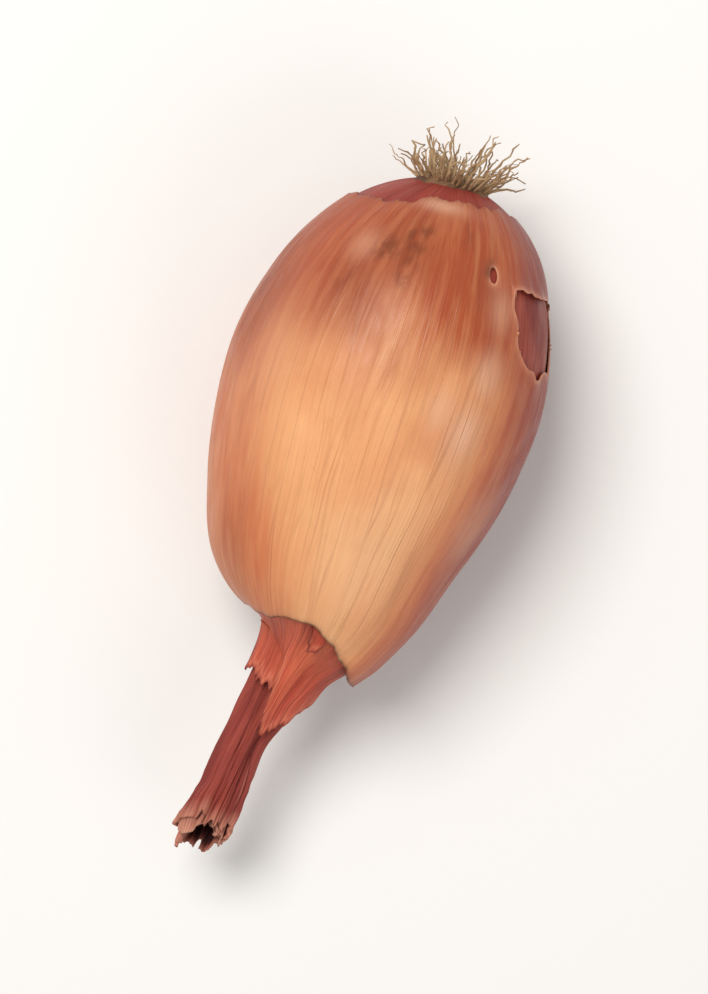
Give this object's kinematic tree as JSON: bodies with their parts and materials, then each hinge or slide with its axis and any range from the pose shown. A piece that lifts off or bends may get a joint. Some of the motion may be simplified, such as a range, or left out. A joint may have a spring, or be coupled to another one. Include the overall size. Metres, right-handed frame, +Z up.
{
  "type": "shallot",
  "caption": "Long shallot lying on its side, with a torn tan outer skin over a red-brown bulb, a dry open neck and a tuft of dried roots.",
  "frame": {"origin": "middle of the small flat spot under the belly, on the surface that it lies on", "axes": "+X from the roots to the neck, +Z up, +Y towards the side where the outer skin is torn open"},
  "size_m": [0.0968, 0.04, 0.0377],
  "materials": {
    "bulb_skin": "tight red-brown papery skin with fine lengthwise veins, satin",
    "outer_skin": "loose golden-tan papery skin with fine lengthwise veins, satin to glossy",
    "neck_leaf": "dry red papery leaf, striated, satin",
    "roots": "dry straw-brown roots, matt"
  },
  "bodies": {
    "root": {"bulb": "bulb_skin", "outer_skin": "outer_skin", "neck_leaf": "neck_leaf", "roots": "roots"}
  },
  "joints": []
}
